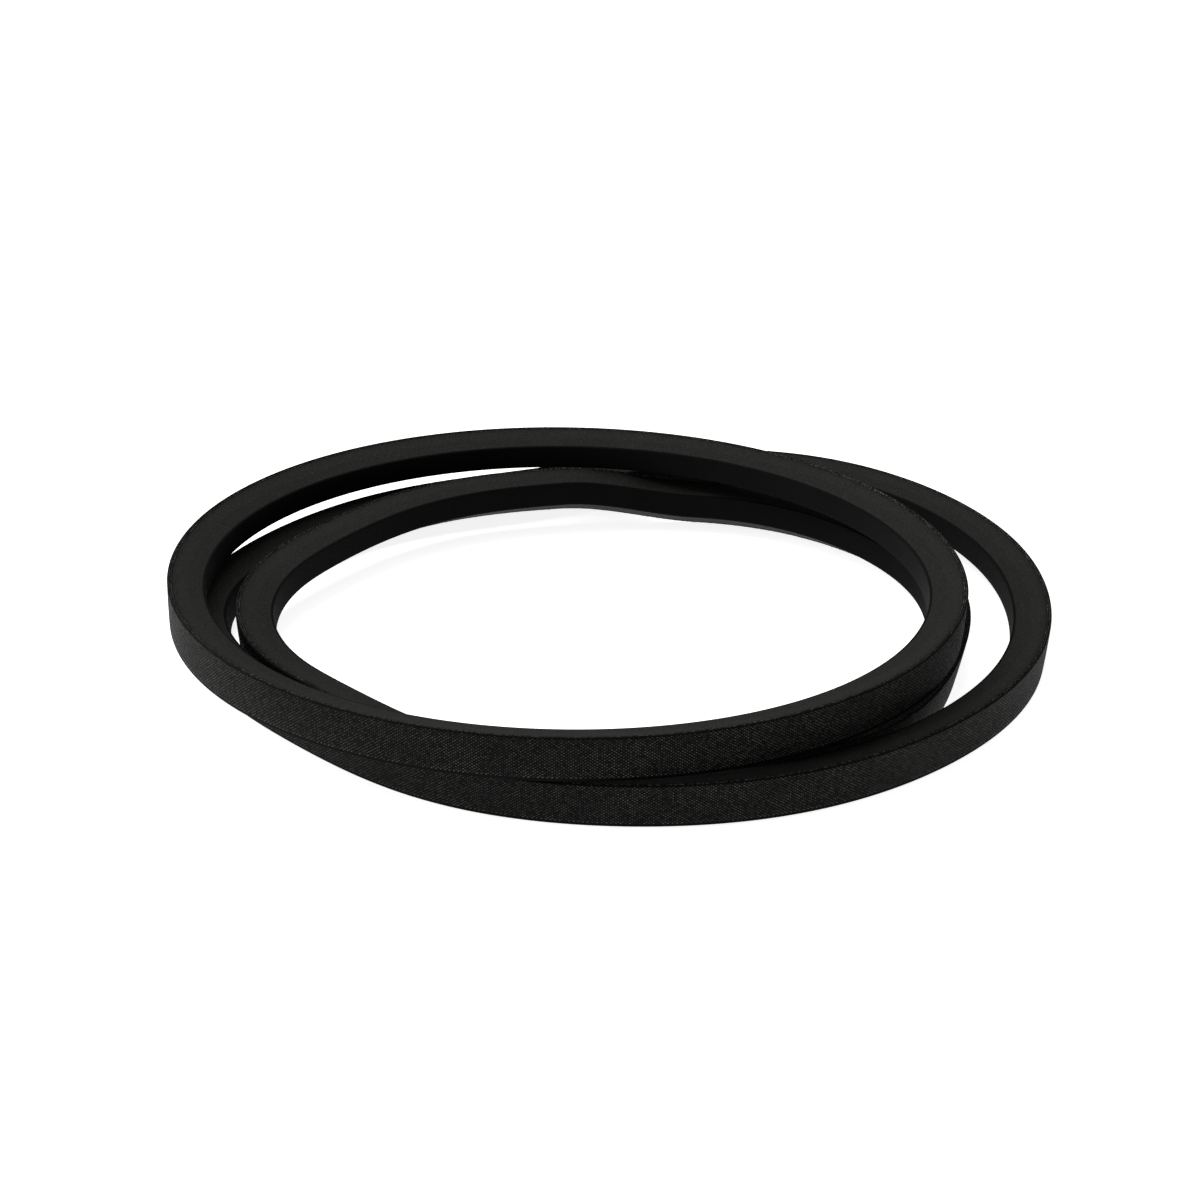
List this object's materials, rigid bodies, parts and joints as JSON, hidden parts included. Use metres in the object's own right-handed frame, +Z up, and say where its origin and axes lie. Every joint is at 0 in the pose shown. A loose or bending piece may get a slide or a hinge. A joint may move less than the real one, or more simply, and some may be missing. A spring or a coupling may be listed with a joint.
{
  "type": "v belt set",
  "caption": "Stack of endless V-belts for pulley drives, each with a woven back, rubber flanks and layered cord and rubber inside, lying as loose loops.",
  "frame": {"origin": "middle of the box round the stack, on the surface it lies on", "axes": "+Z up through the loops, +X along the longest extent of the stack, -Y towards the side the stack is seen from"},
  "size_m": [0.2508, 0.2367, 0.0258],
  "materials": {
    "back_fabric": "matte bias-cut woven cover with a rubbed-in black rubber film",
    "belt_rubber": "matte cut rubber, finely speckled",
    "cushion_gum": "satin rubber",
    "tensile_cord": "matte twisted polyester",
    "base_fabric": "matte rubber-filled fabric"
  },
  "bodies": {
    "root": {"wide_belt_outer_back_ply": "back_fabric", "wide_belt_inner_back_ply": "back_fabric", "wide_belt_overcord_rubber": "belt_rubber", "wide_belt_upper_gum": "cushion_gum", "wide_belt_lower_gum": "cushion_gum", "wide_belt_compression_rubber": "belt_rubber", "wide_belt_base_ply": "base_fabric", "wide_belt_tensile_cord_1": "tensile_cord", "wide_belt_tensile_cord_2": "tensile_cord", "wide_belt_tensile_cord_3": "tensile_cord", "wide_belt_tensile_cord_4": "tensile_cord", "wide_belt_tensile_cord_5": "tensile_cord", "inner_belt_outer_back_ply": "back_fabric", "inner_belt_inner_back_ply": "back_fabric", "inner_belt_overcord_rubber": "belt_rubber", "inner_belt_upper_gum": "cushion_gum", "inner_belt_lower_gum": "cushion_gum", "inner_belt_compression_rubber": "belt_rubber", "inner_belt_base_ply": "base_fabric", "inner_belt_tensile_cord_1": "tensile_cord", "inner_belt_tensile_cord_2": "tensile_cord", "inner_belt_tensile_cord_3": "tensile_cord", "inner_belt_tensile_cord_4": "tensile_cord", "inner_belt_tensile_cord_5": "tensile_cord", "top_belt_outer_back_ply": "back_fabric", "top_belt_inner_back_ply": "back_fabric", "top_belt_overcord_rubber": "belt_rubber", "top_belt_upper_gum": "cushion_gum", "top_belt_lower_gum": "cushion_gum", "top_belt_compression_rubber": "belt_rubber", "top_belt_base_ply": "base_fabric", "top_belt_tensile_cord_1": "tensile_cord", "top_belt_tensile_cord_2": "tensile_cord", "top_belt_tensile_cord_3": "tensile_cord", "top_belt_tensile_cord_4": "tensile_cord", "top_belt_tensile_cord_5": "tensile_cord"}
  },
  "joints": []
}
